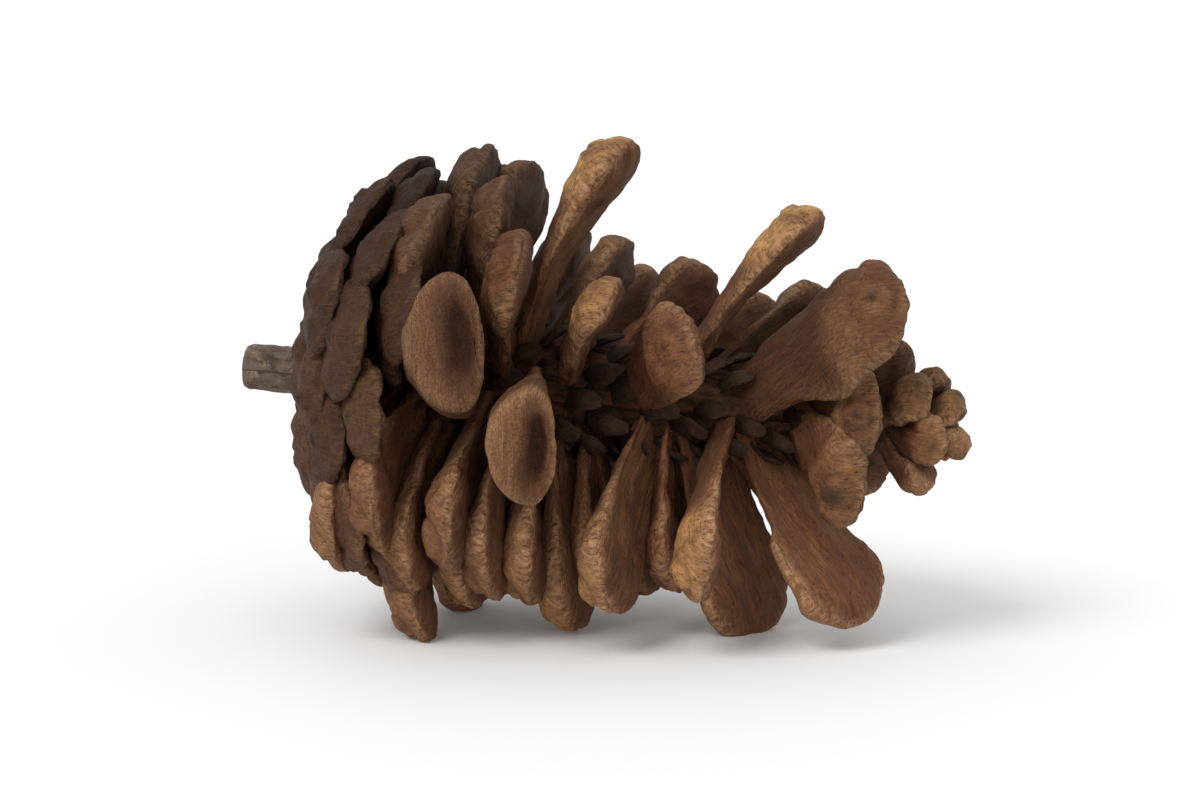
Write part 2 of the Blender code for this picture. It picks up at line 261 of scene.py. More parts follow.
def spiral_scales(count, stations, draw, kind):
    plan = []
    for number in range(count):
        share = number / (count - 1)
        root_along, tip_along, tip_radius, width, thickness, bow = between(stations, share)
        root = root_at(root_along)
        reach = np.array((tip_along, tip_radius)) - root
        reach = reach * (1.0 + draw.uniform(-LENGTH_SPREAD, LENGTH_SPREAD))
        reach = turned(reach, draw.uniform(-LEAN_SPREAD, LEAN_SPREAD))
        scale = {
            "turn": number * GOLDEN_ANGLE + draw.uniform(-TURN_SPREAD, TURN_SPREAD),
            "root": root,
            "reach": reach,
            "width": width * (1.0 + draw.uniform(-WIDTH_SPREAD, WIDTH_SPREAD)),
            "thickness": thickness,
            "twist": draw.uniform(-TWIST_SPREAD, TWIST_SPREAD),
            "bow": bow,
            "kind": kind,
            "grid": BRACT_GRID if kind == "bract" else SMALL_GRID,
            "looks": None,
        }
        plan.append(scale)
    return plan


def listed_scale(row):
    along, turn, lean, length, width, thickness, twist, bow = row
    lean = math.radians(lean)
    return {
        "turn": math.radians(turn),
        "root": root_at(along),
        "reach": np.array((math.cos(lean), math.sin(lean))) * length,
        "width": width,
        "thickness": thickness,
        "twist": math.radians(twist),
        "bow": bow,
        "kind": "open",
        "grid": OPEN_GRID,
        "looks": OWN_LOOKS.get(row[:2]),
    }


def smooth(t):
    t = np.clip(t, 0.0, 1.0)
    return t * t * (3.0 - 2.0 * t)


def widest_at(scale):
    return max(WIDEST, 1.0 - TIP_ROUND * scale["width"] / float(np.hypot(*scale["reach"])))


def cap_radius(share, widest):
    """From 1 where a scale is widest, and everywhere before that, to 0 at its tip."""
    return np.sqrt(1.0 - np.clip((share - widest) / (1.0 - widest), 0.0, 1.0) ** 2)


def ends_on(scale):
    return scale["thickness"] > END_ON_THICKNESS


def half_width(share, widest):
    body = ROOT_WIDTH + (1.0 - ROOT_WIDTH) * smooth(share / widest)
    return body * cap_radius(share, widest)


def thickness_at(share, widest, blade, swollen, taper):
    body = blade + (swollen - blade) * smooth((share - 0.35) / (widest - 0.35))
    return body * cap_radius(share, widest) ** (2.0 * taper)


def cup_at(share):
    return CUP * (1.0 - (1.0 - END_CUP) * smooth((share - 0.45) / 0.3))


def even_noise(points, seed):
    """Smooth noise from about -1 to 1 in three dimensions, the same on every run."""
    cell = np.floor(points)
    part = points - cell
    ease = part**3 * (part * (part * 6.0 - 15.0) + 10.0)
    cell = cell.astype(np.int64)
    total = np.zeros(points.shape[:-1])
    for dx in (0, 1):
        for dy in (0, 1):
            for dz in (0, 1):
                x, y, z = cell[..., 0] + dx, cell[..., 1] + dy, cell[..., 2] + dz
                mixed = (x * 73856093) ^ (y * 19349663) ^ (z * 83492791) ^ (seed * 2654435761)
                mixed = (mixed ^ (mixed >> 13)) & 0xFFFFFFFF
                mixed = (mixed * 1274126177) & 0xFFFFFFFF
                mixed = mixed ^ (mixed >> 16)
                slope = [((mixed >> bits) & 0x3FF) / 511.5 - 1.0 for bits in (0, 10, 20)]
                rise = sum(slope[i] * (part[..., i] - (dx, dy, dz)[i]) for i in range(3))
                for i, corner in enumerate((dx, dy, dz)):
                    rise = rise * (ease[..., i] if corner else 1.0 - ease[..., i])
                total += rise
    return total * 1.9


def layered_noise(points, seed, layers=3):
    total = np.zeros(points.shape[:-1])
    for layer in range(layers):
        total += even_noise(points * 2.0**layer, seed + 17 * layer) * 0.55**layer
    return total


def vectors(*parts):
    return np.stack(np.broadcast_arrays(*parts), axis=-1).astype(float)


def scale_frame(scale, share):
    """Centres of a scale's sections along its length, and their directions towards its inner face."""
    reach = scale["reach"]
    length = float(np.hypot(*reach))
    back = np.array((-reach[1], reach[0])) / length
    bow = scale["bow"] * length
    centre = scale["root"] + reach * share + back * bow * np.sin(np.pi * share)
    along = reach + back * bow * np.pi * np.cos(np.pi * share)
    along = along / np.linalg.norm(along, axis=1, keepdims=True)
    return centre, np.stack((along[:, 1], -along[:, 0]), axis=1)


def twisted_out(scale, share, side, height):
    """Points of a scale from how far to its side and towards its inner face they are."""
    centre, inward = scale_frame(scale, share)
    twist, turn = scale["twist"], scale["turn"]
    across = side * math.cos(twist) - height * math.sin(twist)
    lift = side * math.sin(twist) + height * math.cos(twist)
    axial = centre[:, None, 0] + inward[:, None, 0] * lift
    radial = centre[:, None, 1] + inward[:, None, 1] * lift
    y = radial * math.cos(turn) - across * math.sin(turn)
    z = radial * math.sin(turn) + across * math.cos(turn)
    return vectors(axial, y, z)


def scale_section(scale, share, around, number, waves):
    """The even surface of a scale, before its relief, with each point's place on it."""
    length = float(np.hypot(*scale["reach"]))
    widest = widest_at(scale)
    s = share[:, None]
    a = around[None, :]
    wide = half_width(s, widest)
    if scale["kind"] == "bract":
        wide = wide * (1.0 - 0.6 * s)
    margin = layered_noise(vectors(s * 4.3, np.sign(np.cos(a)) * 3.3 + 9.4, number * 1.7), 31)
    uneven = 1.0 + 0.06 * waves * margin * smooth((s - 0.2) / 0.3)
    side = np.cos(a) * wide * scale["width"] / 2.0 * uneven
    blade = scale["thickness"] if scale["kind"] == "bract" else BLADE_THICKNESS
    full = thickness_at(s, widest, blade, scale["thickness"], END_ROUND)
    height = np.sin(a) * full * np.where(np.sin(a) > 0.0, INNER_SHARE, 1.0 - INNER_SHARE)
    height = height + cup_at(s) * scale["width"] * np.cos(a) ** 2 * wide**2
    ripple = even_noise(vectors(s * 3.5, np.sign(np.cos(a)) * 2.3 + 5.4, number * 2.3), 47)
    height = height + 0.3 * waves * ripple * np.cos(a) ** 2 * wide * smooth((s - 0.25) / 0.4)
    points = twisted_out(scale, s, side, height)
    cap = cap_radius(s, widest) + 0.0 * a
    bent = cap * np.sin(a) - HOLLOW_OFFSET + HOLLOW_BEND * (cap * np.cos(a)) ** 2
    bowl = np.hypot(cap * np.cos(a) / HOLLOW_ALONG, bent / HOLLOW_ACROSS)
    if ends_on(scale):
        turn = scale["turn"]
        axial, radial = scale["reach"] / length
        outward = np.array((axial, radial * math.cos(turn), radial * math.sin(turn)))
        points = points - outward * (HOLLOW_DEPTH * smooth((0.98 - bowl) / 0.7))[..., None]
    place = {
        "across": side,
        "height": height,
        "along": s * length + 0.0 * a,
        "share": s + 0.0 * a,
        "half": np.maximum(wide * scale["width"] / 2.0, 0.05),
        "cap": cap,
        "bowl": bowl,
    }
    return points, place


def grid_normals(points):
    """Outward normals of a grid of rings."""
    round_it = np.roll(points, -1, axis=1) - np.roll(points, 1, axis=1)
    down_it = np.gradient(points, axis=0)
    normals = np.cross(round_it, down_it)
    size = np.linalg.norm(normals, axis=-1, keepdims=True)
    return normals / np.maximum(size, 1e-9)


def scale_relief(scale, points, place, around, number, spot):
    """How far each point of a scale stands out of its even surface, and its looks there.

    The looks are two vectors: how much each point is swollen end, seed print and painted shade of the gaps
    and hollows, and how much it is pale margin partly with painted highlight, painted shade of the pit and
    painted shade of the ring.
    """
    share, across, along, half = place["share"], place["across"], place["along"], place["half"]
    cap = place["cap"]
    outer = np.clip(-np.sin(around), 0.0, 1.0)[None, :] ** 0.6
    inner = np.clip(np.sin(around), 0.0, 1.0)[None, :] ** 0.6
    height = {"open": 1.0, "base": 0.75, "apex": 0.8, "bract": 0.1}[scale["kind"]]
    height *= min(1.0, scale["width"] / 7.4) ** 1.5
    end_on = 1.0 if ends_on(scale) else 0.0
    fade = smooth(cap / 0.4)

    # The plate on the swollen end, its boss, and the keel across it
    boss_share = 1.0 if end_on else {"base": 0.84}.get(scale["kind"], 0.90)
    row = int(np.argmin(np.abs(share[:, 0] - boss_share)))
    boss_point = points[row].mean(axis=0) if end_on else points[row, (3 * len(around)) // 4]
    away = np.linalg.norm(points - boss_point, axis=-1)
    size = 0.16 * scale["width"]
    plate = 0.20 * smooth((size * 1.05 - away) / 0.25) - 0.24 * np.exp(-(((away - size * 1.2) / 0.24) ** 2))
    thorn = 0.42 * np.exp(-((away / 0.42) ** 2)) - 0.40 * np.exp(-((away / 0.2) ** 2))
    keel_at = boss_share - 0.02 - 0.05 * (across / half) ** 2
    keel = 0.24 * np.exp(-(((share - keel_at) / 0.032) ** 2)) * smooth((away - size) / 0.8) * (1.0 - end_on)
    drift = 0.05 * even_noise(vectors(across * 0.6, number * 1.9, 0.0 * along), 61)
    swelling = smooth((share + drift - 0.58) / 0.16)
    lip = 0.24 * swelling * (1.0 - end_on)
    angle = np.arctan2((share - boss_share) * 12.0, across)
    spokes = layered_noise(vectors(np.cos(angle) * 3.0, np.sin(angle) * 3.0, number * 3.1), 5, 2)
    wrinkles = 0.10 * spokes * smooth((away - size) / 1.2) * swelling * fade

    # The hollow and the rim of an end that is seen end on
    hollow = end_on * smooth((0.84 - place["bowl"]) / 0.4)
    lining = end_on * smooth((1.2 - place["bowl"]) / 0.4) * smooth((0.999 - cap) / 0.02)
    rim = 0.24 * end_on * np.exp(-(((cap - 0.90) / 0.09) ** 2)) * smooth((0.999 - cap) / 0.02)
    end_relief = rim + (plate + thorn) * outer * (1.0 - end_on)
    end_relief = end_relief + (keel + lip + wrinkles) * outer

    # Ridges and fibres along the blade
    face = np.sin(around)[None, :]
    ridge = layered_noise(vectors(across * 0.75, along * 0.10, number * 5.3 + face * 0.8), 3, 2)
    fibre = layered_noise(vectors(across * 2.6, along * 0.26, number * 4.1 + face * 0.9), 4, 2)
    rib = 0.26 if scale["kind"] == "base" else 0.15
    fibres = (rib * ridge + 0.07 * fibre) * (1.0 - 0.5 * swelling * outer) * fade
    fibres = fibres * (1.0 - 0.7 * end_on * smooth((share - 0.7) / 0.1))

    # The prints of two seeds on the inner face
    print_across = (np.abs(across) / half - 0.47) / 0.36
    window = smooth((share - 0.16) / 0.1) * smooth((0.76 - share) / 0.06)
    seed_print = np.clip(1.0 - print_across**2, 0.0, 1.0) * window * inner
    prints = -0.24 * np.sqrt(seed_print)

    # Lumps, larger one way than the other
    uneven = vectors(
        (0.8 * across + 0.6 * along) / 2.2,
        (0.8 * along - 0.6 * across) / 2.8,
        number * 7.9 + np.sin(around)[None, :] * 0.8,
    )
    lumps = 0.17 * layered_noise(uneven, 11, 2) + 0.04 * even_noise(uneven * 4.1, 12)
    relief = height * (end_relief + prints) + fibres + lumps * smooth(share / 0.2) * fade
    relief = relief * smooth(share / 0.1)

    # What the material shows
    # The pale margin is partly the scale's own paler edge and partly a painted highlight on its rims, the
    # raised rim of an end seen end on among them.
    margin = np.abs(np.cos(around))[None, :] ** 8 * smooth((share - 0.3) / 0.3) * (1.0 - end_on)
    margin = np.maximum(margin, 0.8 * smooth((0.55 - cap) / 0.3) * (1.0 - end_on))
    end_margin = np.exp(-(((cap - 0.92) / 0.10) ** 2)) * smooth((0.9999 - cap) / 0.01)
    margin = np.maximum(margin, end_on * end_margin)
    # Painted shade: the pit in the middle of the boss is darkened.
    pit = np.exp(-((away / (0.36 * spot)) ** 2)) * np.maximum(outer, end_on)
    # Painted shade: a dark ring in the groove round the boss's plate, and on the lining and in the hollow
    # of an end seen end on.
    ring = np.exp(-(((away - size * 1.25) / 0.32) ** 2)) * outer * (1.0 - end_on)
    ring = ring + 0.7 * lining + hollow
    end_zone = np.maximum(swelling * outer, end_on * smooth((share + drift - 0.62) / 0.3))
    zone = vectors(
        end_zone * (1.0 - 0.75 * lining),
        np.sqrt(seed_print),
        # Painted shade: darker towards each scale's root, between the scales, and in the hollow of an end
        # seen end on.
        np.maximum(1.0 - smooth(share / 0.34), 2.6 * hollow),
    )
    return relief, zone, vectors(margin, pit, ring)


def ring_faces(rings, sides):
    """Quads between rings and fans that close both ends on two more points."""
    i = np.arange(rings - 1)[:, None] * sides
    j = np.arange(sides)[None, :]
    k = (j + 1) % sides
    quads = np.stack((i + j, i + k, i + sides + k, i + sides + j), axis=-1).reshape(-1, 4)
    ring = np.arange(sides)
    following = (ring + 1) % sides
    last = (rings - 1) * sides
    first_fan = np.stack((following, ring, np.full(sides, rings * sides)), axis=-1)
    last_fan = np.stack((last + ring, last + following, np.full(sides, rings * sides + 1)), axis=-1)
    return quads, np.concatenate((first_fan, last_fan))


def fine_scale(scale, number, draw):
    """One finished scale: its points, faces and what the material needs at each point."""
    body_rows, end_rows, sides = scale["grid"]
    widest = widest_at(scale)
    quarter = np.linspace(0.0, np.pi / 2.0, end_rows, endpoint=False)
    share = np.concatenate(
        (
            np.linspace(0.0, widest, body_rows, endpoint=False),
            widest + (1.0 - widest) * np.sin(quarter),
        )
    )
    around = np.arange(sides) * 2.0 * np.pi / sides
    tone, ochre, red, grey, waves, spot = scale_state(scale, draw)
    points, place = scale_section(scale, share, around, number, waves)
    relief, zone, marks = scale_relief(scale, points, place, around, number, spot)
    points = points + grid_normals(points) * relief[..., None]

    spread = 1.0 - (0.6 if ends_on(scale) else 0.0) * smooth((place["share"] - 0.7) / 0.1)
    lengthwise = place["along"] + 10.0 * (1.0 - spread) * place["height"]
    grain = vectors(place["across"] * spread, lengthwise, number * 13.7 + 0.7 * np.sin(around)[None, :])
    state = np.broadcast_to((tone, ochre, red), points.shape)
    wear = np.broadcast_to((grey, 0.0, 0.0), points.shape)
    layers = {"zone": zone, "marks": marks, "grain": grain, "state": state, "wear": wear}
    ends = {}
    for name, values in (("points", points), *layers.items()):
        flat = values.reshape(-1, 3)
        ends[name] = np.concatenate((flat, [values[0].mean(axis=0)], [values[-1].mean(axis=0)]))
    return ends, *ring_faces(len(share), sides)


def scale_state(scale, draw):
    """Each scale's looks, in the order of OWN_LOOKS, with painted shade and painted light in its tone."""
    facing_up = math.sin(scale["turn"])
    # Painted shade and light: scales that face up get a darker tone and scales that face down a lighter
    # one.
    tone = 0.34 + 0.35 * draw.uniform(0.0, 1.0) - 0.38 * facing_up
    ochre = 0.45 * draw.uniform(0.0, 1.0) ** 2
    red = 0.6 * draw.uniform(0.0, 1.0) ** 2
    grey = draw.uniform(0.0, 0.15)
    if scale["kind"] == "base":
        # The base scales get a darker tone as painted shade, and those that face up are greyer.
        tone -= 0.82
        ochre = 0.5 * ochre
        red += 0.5
        grey = 0.4 * grey + 0.3 * max(0.0, facing_up - 0.3)
    if scale["kind"] == "apex":
        tone += 0.25
    if scale["kind"] == "bract":
        # Painted shade: the bracts are made near black, standing for the shade between the scales.
        tone, ochre, red, grey = -0.9, 0.0, 0.0, 0.0
    waves = 2.5 if scale["kind"] == "bract" else 1.0
    return scale["looks"] or (tone, ochre, red, grey, waves, 1.0)


def lay_down(points):
    """From the cone's own frame to the table, in metres."""
    cos, sin = math.cos(DROOP), math.sin(DROOP)
    laid = np.empty_like(points)
    laid[:, 0] = points[:, 0] * cos + points[:, 2] * sin
    laid[:, 1] = points[:, 1]
    laid[:, 2] = -points[:, 0] * sin + points[:, 2] * cos
    return laid * MM


def frame_shift():
    """The frame stands its box on the origin; the stalk's own box tells by how much."""
    low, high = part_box("stalk")
    middle = SOCKET_DEPTH - JOINT_GAP - STALK_REACH / 2.0
    return (np.array(low) + np.array(high)) / 2.0 - lay_down(np.array([[middle, 0.0, 0.0]]))[0]


SHIFT = frame_shift()


def placed(points):
    laid = lay_down(points) + SHIFT
    laid[:, 2] = np.maximum(laid[:, 2], 0.0)
    return laid


# The rows and sides of a scale in the frame, which its reach down to the table is read from.
FRAME_ROWS = (0.0, 0.35, 0.6, 0.77, 0.9, 0.98)
FRAME_SIDES = 8


def reach_table(scale):
    """Lengthens or shortens a foot scale as the frame does."""
    shares = np.array(FRAME_ROWS)
    around = np.arange(FRAME_SIDES) * 2.0 * np.pi / FRAME_SIDES
    reach = scale["reach"].copy()
    low, high = 0.7, 1.4
    for _ in range(24):
        middle = (low + high) / 2.0
        scale["reach"] = reach * middle
        if -lay_down(frame_points(scale, shares, around)).min(axis=0)[2] < TABLE_DROP * MM:
            low = middle
        else:
            high = middle
    return scale


def frame_points(scale, share, around):
    """The frame's own plain surface of a scale."""
    s = share[:, None]
    a = around[None, :]
    widest = widest_at(scale)
    wide = half_width(s, widest)
    side = np.cos(a) * wide * scale["width"] / 2.0
    height = np.sin(a) * thickness_at(s, widest, BLADE_THICKNESS, scale["thickness"], TAPER)
    height = height * np.where(np.sin(a) > 0.0, INNER_SHARE, 1.0 - INNER_SHARE)
    height = height + cup_at(s) * scale["width"] * np.cos(a) ** 2 * wide**2
    return twisted_out(scale, s, side, height).reshape(-1, 3)


def mesh_piece(name, points, quads, triangles, layers):
    """One piece from its points in metres, its faces, and a vector at each point for each layer."""
    faces = [*map(tuple, quads), *map(tuple, triangles)]
    mesh = bpy.data.meshes.new(name)
    mesh.from_pydata(points.tolist(), [], faces)
    mesh.shade_smooth()
    for layer, values in layers.items():
        attribute = mesh.attributes.new(layer, "FLOAT_VECTOR", "POINT")
        attribute.data.foreach_set("vector", values.astype(np.float32).ravel())
    piece = bpy.data.objects.new(name, mesh)
    bpy.context.scene.collection.objects.link(piece)
    return piece


def scales_piece(name, numbered, draw):
    """Several finished scales as one piece."""
    parts = {"points": [], "zone": [], "marks": [], "grain": [], "state": [], "wear": []}
    quads, triangles, count = [], [], 0
    for number, scale in numbered:
        ends, own_quads, own_triangles = fine_scale(scale, number, draw)
        for key, values in ends.items():
            parts[key].append(values)
        quads.append(own_quads + count)
        triangles.append(own_triangles + count)
        count += len(ends["points"])
    points = placed(np.concatenate(parts.pop("points")))
    layers = {key: np.concatenate(values) for key, values in parts.items()}
    return mesh_piece(name, points, np.concatenate(quads), np.concatenate(triangles), layers)


def rod_piece(name, along, radius, around):
    """A rod about the cone's axis from the radius at each distance along it and turn round it."""
    y = -radius * np.cos(around)[None, :]
    z = radius * np.sin(around)[None, :]
    x = np.broadcast_to(along[:, None], radius.shape)
    points = vectors(x, y, z)
    flat = points.reshape(-1, 3)
    flat = np.concatenate((flat, [points[0].mean(axis=0)], [points[-1].mean(axis=0)]))
    grain = vectors(around[None, :] * radius, x, 0.0 * radius)
    grain = grain.reshape(-1, 3)
    grain = np.concatenate((grain, [grain[0]], [grain[-1]]))
    disc = flat * (0.0, 1.0, 1.0)
    quads, triangles = ring_faces(len(along), len(around))
    return mesh_piece(name, placed(flat), quads, triangles, {"grain": grain, "disc": disc})


def core_piece():
    """The woody axis, its radius made uneven by noise."""
    along = np.linspace(SOCKET_DEPTH, AXIS_PROFILE[-1][0], 150)
    around = np.arange(60) * 2.0 * np.pi / 60
    even = np.array([between(AXIS_PROFILE, x)[0] for x in along])[:, None]
    y, z = np.cos(around)[None, :] * even, np.sin(around)[None, :] * even
    place = vectors(along[:, None] / 1.4, y / 1.2, z / 1.2)
    radius = even * 0.9 + 0.4 * layered_noise(place, 71)
    return rod_piece("cone_axis", along, radius, around)


def stalk_piece():
    """The stub of twig: furrowed bark with leaf scars, cut square at its end."""
    inner = SOCKET_DEPTH - JOINT_GAP
    along = np.linspace(inner - STALK_REACH, inner, 110)
    around = np.arange(96) * 2.0 * np.pi / 96
    x, a = along[:, None], around[None, :]
    furrows = layered_noise(vectors(x * 0.55, np.cos(a) * 2.6, np.sin(a) * 2.6), 91)
    rings = np.sin(x * 4.2 + 1.5 * even_noise(vectors(x * 0.6, np.cos(a), np.sin(a)), 93))
    radius = STALK_RADIUS * (0.95 + 0.035 * furrows + 0.012 * rings)
    for scar_at, scar_turn, size in LEAF_SCARS:
        turn = (a - scar_turn + np.pi) % (2.0 * np.pi) - np.pi
        away = np.hypot((x - scar_at) / 0.62, turn * STALK_RADIUS / 0.7)
        radius = radius + size * np.exp(-(away**2)) - 0.45 * size * np.exp(-((away / 0.4) ** 2))
    rim = smooth((x - along[0]) / 0.25)
    piece = rod_piece("twig_stub", along, radius * (0.93 + 0.07 * rim), around)
    for material in (bark_material(), cut_material()):
        piece.data.materials.append(material)
    walls = (len(along) - 1) * len(around)
    for face in piece.data.polygons[walls : walls + len(around)]:
        face.material_index = 1
        face.use_smooth = False
    return piece


def build_pieces():
    """Every piece of the cone, each standing for the frame's node whose form it keeps."""
    draw = random.Random(SEED)
    base = spiral_scales(BASE_COUNT, BASE_STATIONS, draw, "base")
    opened = [listed_scale(row) for row in OPEN_SCALES]
    feet = [reach_table(listed_scale(row)) for row in FOOT_SCALES]
    apex = spiral_scales(APEX_COUNT, APEX_STATIONS, draw, "apex")
    bracts = spiral_scales(BRACT_COUNT, BRACT_STATIONS, draw, "bract")
    numbered = list(enumerate(base + opened + feet + apex + bracts))
    looks = random.Random(SEED + 1)
    middle = BASE_COUNT + len(opened) // 2
    first_apex = BASE_COUNT + len(opened) + len(feet)
    first_bract = first_apex + APEX_COUNT
    groups = (
        ("base_scales", 0, BASE_COUNT),
        ("lower_open_scales", BASE_COUNT, middle),
        ("upper_open_scales", middle, first_apex),
        ("apex_scales", first_apex, first_bract),
        ("bract_stubs", first_bract, len(numbered)),
    )
    made = [scales_piece(name, numbered[first:last], looks) for name, first, last in groups]
    return made, core_piece(), stalk_piece()


class Shader:
    """A short way to write a procedural material: each call adds one node and gives its output."""

    def __init__(self, name):
        self.material = bpy.data.materials.new(name)
        self.material.use_nodes = True
        self.tree = self.material.node_tree
        self.surface = self.tree.nodes["Principled BSDF"]

    def feed(self, socket, value):
        if isinstance(value, bpy.types.NodeSocket):
            self.tree.links.new(value, socket)
        else:
            socket.default_value = value

    def layer(self, name):
        node = self.tree.nodes.new("ShaderNodeAttribute")
        node.attribute_name = name
        return node.outputs["Vector"]

    def split(self, vector):
        node = self.tree.nodes.new("ShaderNodeSeparateXYZ")
        self.feed(node.inputs[0], vector)
        return node.outputs

    def stretched(self, vector, size):
        node = self.tree.nodes.new("ShaderNodeVectorMath")
        node.operation = "MULTIPLY"
        self.feed(node.inputs[0], vector)
        node.inputs[1].default_value = size
        return node.outputs[0]

    def noise(self, vector, scale, detail=3.0, roughness=0.55, distortion=0.0):
        node = self.tree.nodes.new("ShaderNodeTexNoise")
        self.feed(node.inputs["Vector"], vector)
        node.inputs["Scale"].default_value = scale
        node.inputs["Detail"].default_value = detail
        node.inputs["Roughness"].default_value = roughness
        node.inputs["Distortion"].default_value = distortion
        return node.outputs["Fac"]

    def length(self, vector):
        node = self.tree.nodes.new("ShaderNodeVectorMath")
        node.operation = "LENGTH"
        self.feed(node.inputs[0], vector)
        return node.outputs["Value"]

    def remap(self, value, low, high, to_low=0.0, to_high=1.0):
        node = self.tree.nodes.new("ShaderNodeMapRange")
        node.interpolation_type = "SMOOTHSTEP"
        self.feed(node.inputs["Value"], value)
        limits = {"From Min": low, "From Max": high, "To Min": to_low, "To Max": to_high}
        for socket, limit in limits.items():
            node.inputs[socket].default_value = limit
        return node.outputs["Result"]

    def math(self, operation, first, second=0.0):
        node = self.tree.nodes.new("ShaderNodeMath")
        node.operation = operation
        self.feed(node.inputs[0], first)
        self.feed(node.inputs[1], second)
        return node.outputs[0]

    def mix(self, share, first, second, blend="MIX"):
        node = self.tree.nodes.new("ShaderNodeMix")
        node.data_type = "RGBA"
        node.blend_type = blend
        self.feed(node.inputs["Factor"], share)
        self.feed(node.inputs["A"], first)
        self.feed(node.inputs["B"], second)
        return next(output for output in node.outputs if output.type == "RGBA")

    def grey(self, value):
        node = self.tree.nodes.new("ShaderNodeCombineColor")
        for channel in range(3):
            self.feed(node.inputs[channel], value)
        return node.outputs[0]

    def bump(self, height, distance, strength=1.0):
        node = self.tree.nodes.new("ShaderNodeBump")
        node.inputs["Strength"].default_value = strength
        node.inputs["Distance"].default_value = distance
        self.feed(node.inputs["Height"], height)
        return node.outputs["Normal"]


BLADE = srgb(110, 71, 45)
BLADE_DARK = srgb(82, 51, 34)
RED_BROWN = srgb(115, 64, 42)
SWOLLEN_END = srgb(128, 87, 57)
OCHRE = srgb(198, 151, 90)
SEED_PRINT = srgb(126, 86, 55)
# Partly the pale edges of the scales, partly painted highlight on their rims.
PALE_MARGIN_AND_HIGHLIGHT = srgb(160, 121, 86)
# Painted shade: the near black of the gaps between the scales and of the pits in their bosses.
PAINTED_SHADE = srgb(40, 24, 15)
WEATHERED = srgb(88, 80, 72)
SPECK = srgb(42, 26, 18)
BARK = srgb(98, 79, 66)
BARK_DARK = srgb(50, 38, 31)
BARK_LIGHT = srgb(136, 116, 98)
CUT_WOOD = srgb(176, 148, 112)


def scale_material():
    """Dry cone scale: fibrous red-brown blade, tan swollen end, paler prints of the seeds."""
    shader = Shader("dry_scale")
    zone = shader.split(shader.layer("zone"))
    marks = shader.split(shader.layer("marks"))
    state = shader.split(shader.layer("state"))
    wear = shader.split(shader.layer("wear"))[0]
    grain = shader.layer("grain")
    fibre = shader.noise(shader.stretched(grain, (2.0, 0.20, 1.0)), 1.6, 4.0, 0.6, 0.3)
    fine_fibre = shader.noise(shader.stretched(grain, (7.0, 0.5, 1.0)), 2.4, 3.0, 0.6)
    blotch = shader.noise(grain, 0.45, 4.0, 0.62)
    fleck = shader.noise(grain, 3.2, 3.0, 0.6)

    colour = shader.mix(shader.remap(fibre, 0.33, 0.66), BLADE_DARK, BLADE)
    red_share = shader.math("MULTIPLY", state[2], shader.remap(blotch, 0.3, 0.6, 0.2, 0.9))
    colour = shader.mix(red_share, colour, RED_BROWN)
    print_share = shader.math("MULTIPLY", zone[1], shader.remap(fibre, 0.3, 0.65, 0.2, 0.75))
    colour = shader.mix(print_share, colour, SEED_PRINT)

    plain_end = shader.mix(shader.math("MULTIPLY", state[2], 0.75), SWOLLEN_END, RED_BROWN)
    ochre_share = shader.math("MULTIPLY", state[1], shader.remap(blotch, 0.3, 0.58, 0.2, 0.95))
    end_colour = shader.mix(ochre_share, plain_end, OCHRE)
    mottle = shader.remap(fleck, 0.36, 0.62, 0.72, 1.1)
    end_colour = shader.mix(1.0, end_colour, shader.grey(mottle), "MULTIPLY")
    end_share = shader.math("MULTIPLY", zone[0], shader.remap(blotch, 0.28, 0.6, 0.35, 0.95))
    colour = shader.mix(end_share, colour, end_colour)

    # Pale margin, partly real and partly painted highlight on the rims.
    rim = shader.math("MULTIPLY", marks[0], shader.remap(fleck, 0.35, 0.6, 0.15, 0.8))
    colour = shader.mix(rim, colour, PALE_MARGIN_AND_HIGHLIGHT)
    streaks = shader.remap(fine_fibre, 0.32, 0.68, 0.62, 1.15)
    colour = shader.mix(1.0, colour, shader.grey(streaks), "MULTIPLY")
    grey_share = shader.math("MULTIPLY", wear, shader.remap(blotch, 0.42, 0.62))
    colour = shader.mix(grey_share, colour, WEATHERED)
    # The tone: partly each scale's own shade of brown, partly painted shade and painted light.
    tone = shader.remap(state[0], -1.0, 1.4, 0.14, 1.35)
    colour = shader.mix(1.0, colour, shader.grey(tone), "MULTIPLY")
    # Painted shade in the groove round the boss and in the hollow of an end.
    colour = shader.mix(shader.math("MULTIPLY", marks[2], 0.38), colour, BLADE_DARK)
    # Painted shade in the pit of the boss.
    colour = shader.mix(shader.math("MULTIPLY", marks[1], 0.8), colour, PAINTED_SHADE)
    speck = shader.remap(shader.noise(grain, 5.5, 1.0), 0.66, 0.72, 0.0, 0.7)
    colour = shader.mix(speck, colour, SPECK)
    # Painted shade towards the roots of the scales and in the hollows of their ends.
    colour = shader.mix(shader.math("MULTIPLY", zone[2], 0.20), colour, PAINTED_SHADE)
    shader.feed(shader.surface.inputs["Base Color"], colour)
    shader.feed(shader.surface.inputs["Roughness"], shader.remap(fibre, 0.3, 0.7, 0.55, 0.78))
    shader.surface.inputs["Specular IOR Level"].default_value = 0.2
    fibre_relief = shader.math("MULTIPLY", fine_fibre, shader.remap(zone[0], 0.0, 1.0, 1.0, 0.45))
    relief = shader.math("ADD", fibre_relief, shader.math("MULTIPLY", fleck, 0.5))
    shader.feed(shader.surface.inputs["Normal"], shader.bump(relief, 0.00032, 0.9))
    return shader.material


